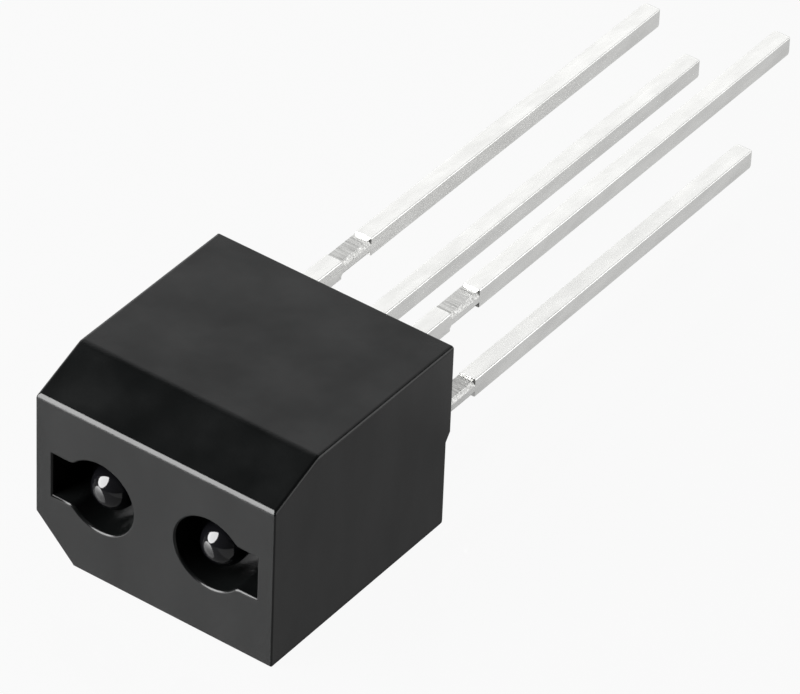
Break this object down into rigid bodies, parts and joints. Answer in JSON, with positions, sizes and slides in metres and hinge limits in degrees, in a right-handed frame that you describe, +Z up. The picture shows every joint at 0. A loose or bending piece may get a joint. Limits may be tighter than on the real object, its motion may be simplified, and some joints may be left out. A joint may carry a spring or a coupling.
{
  "type": "reflective optical sensor",
  "caption": "Through-hole reflective optical sensor: a black housing holds an infrared emitter and a phototransistor side by side behind two windows, with straight leads out of the back.",
  "frame": {"origin": "middle of the housing's underside, the flat face that it lies on", "axes": "+X across the two channels from the emitter to the phototransistor, +Y from the lens face to the lead tips along the optical axes, +Z up to the top face"},
  "size_m": [0.0066, 0.0228, 0.0049],
  "materials": {
    "housing_plastic": "satin black moulded thermoplastic with a fine grain",
    "package_resin": "gloss black epoxy that passes infrared light",
    "lead_plate": "bright tin plate over a stamped lead frame",
    "die": "semiconductor die",
    "die_attach": "silver-filled conductive adhesive",
    "bond_wire": "drawn gold wire"
  },
  "bodies": {
    "root": {"housing": "housing_plastic", "infrared_emitter_package": "package_resin", "phototransistor_package": "package_resin", "anode_lead": "lead_plate", "cathode_lead": "lead_plate", "collector_lead": "lead_plate", "emitter_lead": "lead_plate", "infrared_die": "die", "infrared_die_attach": "die_attach", "infrared_bond_wire": "bond_wire", "phototransistor_die": "die", "phototransistor_die_attach": "die_attach", "phototransistor_bond_wire": "bond_wire"}
  },
  "joints": []
}
